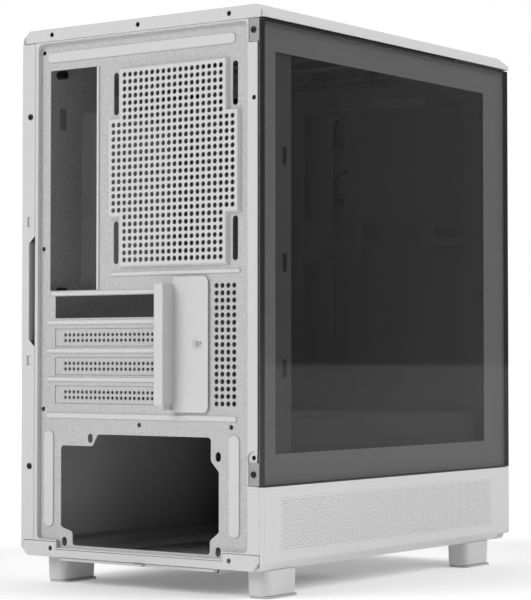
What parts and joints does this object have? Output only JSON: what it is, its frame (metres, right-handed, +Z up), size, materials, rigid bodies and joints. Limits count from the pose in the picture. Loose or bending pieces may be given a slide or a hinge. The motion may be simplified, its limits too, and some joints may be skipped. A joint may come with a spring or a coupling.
{
  "type": "desktop computer tower",
  "caption": "White compact tower case, empty, with tinted glass side, perforated rear grille, expansion slots, bottom power supply bay and lift-off dust filters.",
  "frame": {"origin": "on the surface under the feet, at the middle of the whole case", "axes": "+Z up, -Y out of the rear face with the ports, +X out of the glass side"},
  "size_m": [0.218, 0.3398, 0.399],
  "materials": {
    "white_steel": "fine-textured powder coat",
    "white_plastic": "moulded, lightly grained",
    "tinted_glass": "polished smoked glass",
    "border_print": "screen print",
    "screw_black": "black oxide",
    "screw_steel": "zinc plated",
    "black_plastic": "moulded",
    "filter_cloth": "fine nylon mesh",
    "rubber_pad": "matt",
    "circuit_board": "solder mask",
    "port_metal": "nickel plated",
    "light_pipe": "frosted"
  },
  "bodies": {
    "chassis": {"rear_panel": "white_steel", "fan_grille": "white_steel", "side_vent_grille": "white_steel", "slot_cover_upper": "white_steel", "slot_cover_middle": "white_steel", "slot_cover_lower": "white_steel", "top_cover": "white_steel", "bottom_pan": "white_steel", "lower_side_panel": "white_steel", "lower_side_mesh": "white_steel", "floor_vent": "white_steel", "motherboard_tray": "white_steel", "front_frame": "white_steel", "top_frame": "white_steel", "psu_shroud": "white_steel", "drive_cage": "white_steel", "drive_bracket": "white_steel", "slot_screws": "screw_steel", "foot_screws": "screw_steel", "rivets": "screw_steel", "foot_rear_right": "white_plastic", "foot_rear_left": "white_plastic", "foot_front_right": "white_plastic", "foot_front_left": "white_plastic", "filter_rails": "white_plastic", "drive_tray_lower": "black_plastic", "drive_tray_upper": "black_plastic", "audio_jack": "black_plastic", "power_switch": "black_plastic", "reset_switch": "black_plastic", "foot_pads": "rubber_pad", "motherboard_standoffs": "screw_black", "port_board": "circuit_board", "usb_ports": "port_metal", "status_light": "light_pipe"},
    "power_button": {"power_button": "white_plastic"},
    "reset_button": {"reset_button": "white_plastic"},
    "glass_side": {"glass_panel": "tinted_glass", "glass_border": "border_print", "glass_frame": "white_steel", "glass_screws": "screw_black"},
    "right_side": {"right_side_panel": "white_steel", "side_panel_screws": "screw_black"},
    "front": {"front_panel": "white_plastic", "front_mesh": "white_steel", "ball_studs": "white_plastic", "cable_hooks": "black_plastic"},
    "top_filter": {"top_filter": "white_plastic", "top_filter_mesh": "filter_cloth"},
    "floor_filter": {"psu_filter": "white_plastic", "psu_filter_mesh": "filter_cloth"},
    "slot_bracket": {"slot_bracket": "white_steel", "slot_bracket_screw": "screw_steel"}
  },
  "joints": [
    {"name": "power_press", "type": "slide", "parent": "chassis", "child": "power_button", "axis": [0, 0, -1], "range_m": [0, 0.0016], "stiffness_N_per_m": 700, "springref_m": -0.001},
    {"name": "reset_press", "type": "slide", "parent": "chassis", "child": "reset_button", "axis": [0, 0, -1], "range_m": [0, 0.0016], "stiffness_N_per_m": 500, "springref_m": -0.001},
    {"name": "glass_slide", "type": "slide", "parent": "chassis", "child": "glass_side", "axis": [0, -1, 0], "range_m": [0, 0.02]},
    {"name": "right_panel_slide", "type": "slide", "parent": "chassis", "child": "right_side", "axis": [0, -1, 0], "range_m": [0, 0.02]},
    {"name": "front_pull", "type": "slide", "parent": "chassis", "child": "front", "axis": [0, 1, 0], "range_m": [0, 0.03]},
    {"name": "top_filter_lift", "type": "slide", "parent": "chassis", "child": "top_filter", "axis": [0, 0, 1], "range_m": [0, 0.03]},
    {"name": "floor_filter_slide", "type": "slide", "parent": "chassis", "child": "floor_filter", "axis": [0, -1, 0], "range_m": [0, 0.172]},
    {"name": "slot_bracket_pull", "type": "slide", "parent": "chassis", "child": "slot_bracket", "axis": [0, -1, 0], "range_m": [0, 0.02]}
  ]
}
